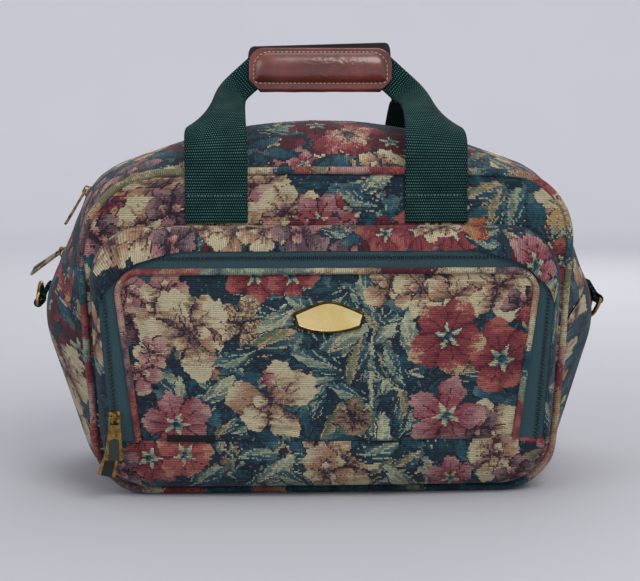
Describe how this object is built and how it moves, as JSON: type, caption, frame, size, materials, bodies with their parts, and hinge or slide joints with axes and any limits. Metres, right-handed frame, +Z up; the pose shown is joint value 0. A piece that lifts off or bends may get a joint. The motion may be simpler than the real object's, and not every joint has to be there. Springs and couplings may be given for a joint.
{
  "type": "carpet bag",
  "caption": "Soft floral tapestry travel bag with a zipped front pocket, folded webbing handles joined by a leather grip, and side rings for a shoulder strap.",
  "frame": {"origin": "middle of the base, on the floor", "axes": "+X to the right of the front panel, -Y out of the front pocket, +Z up"},
  "size_m": [0.4931, 0.2409, 0.367],
  "materials": {
    "tapestry": "woven",
    "piping": "woven",
    "board": "matt fibreboard",
    "zipper_tape": "woven",
    "zipper_coil": "satin",
    "inlay": "matt",
    "brass": "polished",
    "label": "woven",
    "webbing": "ribbed weave",
    "leather": "glossy"
  },
  "bodies": {
    "bag": {"front_panel": "tapestry", "rear_panel": "tapestry", "gusset_front": "tapestry", "gusset_rear": "tapestry", "base_gusset": "tapestry", "front_piping": "piping", "rear_piping": "piping", "base_board": "board", "main_zip_tapes": "zipper_tape", "main_zip_coils": "zipper_coil", "pocket_gusset": "tapestry", "pocket_lower_band": "tapestry", "pocket_face": "tapestry", "pocket_piping": "piping", "pocket_zip_tapes": "zipper_tape", "pocket_zip_coils": "zipper_coil", "badge": "brass", "woven_label": "label", "handle_front": "webbing", "handle_rear": "webbing", "grip_wrap": "leather", "grip_pad": "leather", "ring_tab_left": "webbing", "ring_tab_right": "webbing"},
    "pocket_slider_upper": {"pocket_slider_upper": "brass"},
    "pocket_slider_lower": {"pocket_slider_lower": "brass"},
    "pocket_pull_upper": {"pocket_pull_upper": "brass", "pocket_inlay_upper": "inlay"},
    "pocket_pull_lower": {"pocket_pull_lower": "brass", "pocket_inlay_lower": "inlay"},
    "main_slider_upper": {"main_slider_upper": "brass"},
    "main_slider_lower": {"main_slider_lower": "brass"},
    "main_pull_upper": {"main_pull_upper": "brass", "main_inlay_upper": "inlay"},
    "main_pull_lower": {"main_pull_lower": "brass", "main_inlay_lower": "inlay"},
    "d_ring_left": {"d_ring_left": "brass"},
    "d_ring_right": {"d_ring_right": "brass"}
  },
  "joints": [
    {"name": "pocket_slider_upper_run", "type": "slide", "parent": "bag", "child": "pocket_slider_upper", "axis": [-0.0819, 0, 0.9966], "range_m": [0, 0.085]},
    {"name": "pocket_slider_lower_run", "type": "slide", "parent": "bag", "child": "pocket_slider_lower", "axis": [-0.0819, 0, 0.9966], "range_m": [0, 0.002]},
    {"name": "pocket_pull_upper_swing", "type": "hinge", "parent": "pocket_slider_upper", "child": "pocket_pull_upper", "pos_m": [-0.16913, -0.1257, 0.06788], "axis": [-1, 0, 0.0053], "range_deg": [0, 140]},
    {"name": "pocket_pull_lower_swing", "type": "hinge", "parent": "pocket_slider_lower", "child": "pocket_pull_lower", "pos_m": [-0.16799, -0.1257, 0.05393], "axis": [-0.969, 0, 0.247], "range_deg": [0, 8]},
    {"name": "main_slider_upper_run", "type": "hinge", "parent": "bag", "child": "main_slider_upper", "pos_m": [-0.14457, 0, 0.2104], "axis": [0, 1, 0], "range_deg": [0, 30]},
    {"name": "main_slider_lower_run", "type": "slide", "parent": "bag", "child": "main_slider_lower", "axis": [0.3761, 0, 0.9266], "range_m": [-0.006, 0.01]},
    {"name": "main_pull_upper_swing", "type": "hinge", "parent": "main_slider_upper", "child": "main_pull_upper", "pos_m": [-0.19951, 0, 0.24224], "axis": [0, 1, 0], "range_deg": [0, 150]},
    {"name": "main_pull_lower_swing", "type": "hinge", "parent": "main_slider_lower", "child": "main_pull_lower", "pos_m": [-0.22135, 0, 0.19007], "axis": [0.1589, 0.9063, 0.3916], "range_deg": [0, 110]},
    {"name": "d_ring_left_swing", "type": "hinge", "parent": "bag", "child": "d_ring_left", "pos_m": [-0.23998, 0, 0.14721], "axis": [0, -1, 0], "range_deg": [0, 195]},
    {"name": "d_ring_right_swing", "type": "hinge", "parent": "bag", "child": "d_ring_right", "pos_m": [0.24047, 0, 0.14728], "axis": [0, -1, 0], "range_deg": [0, 150]}
  ]
}
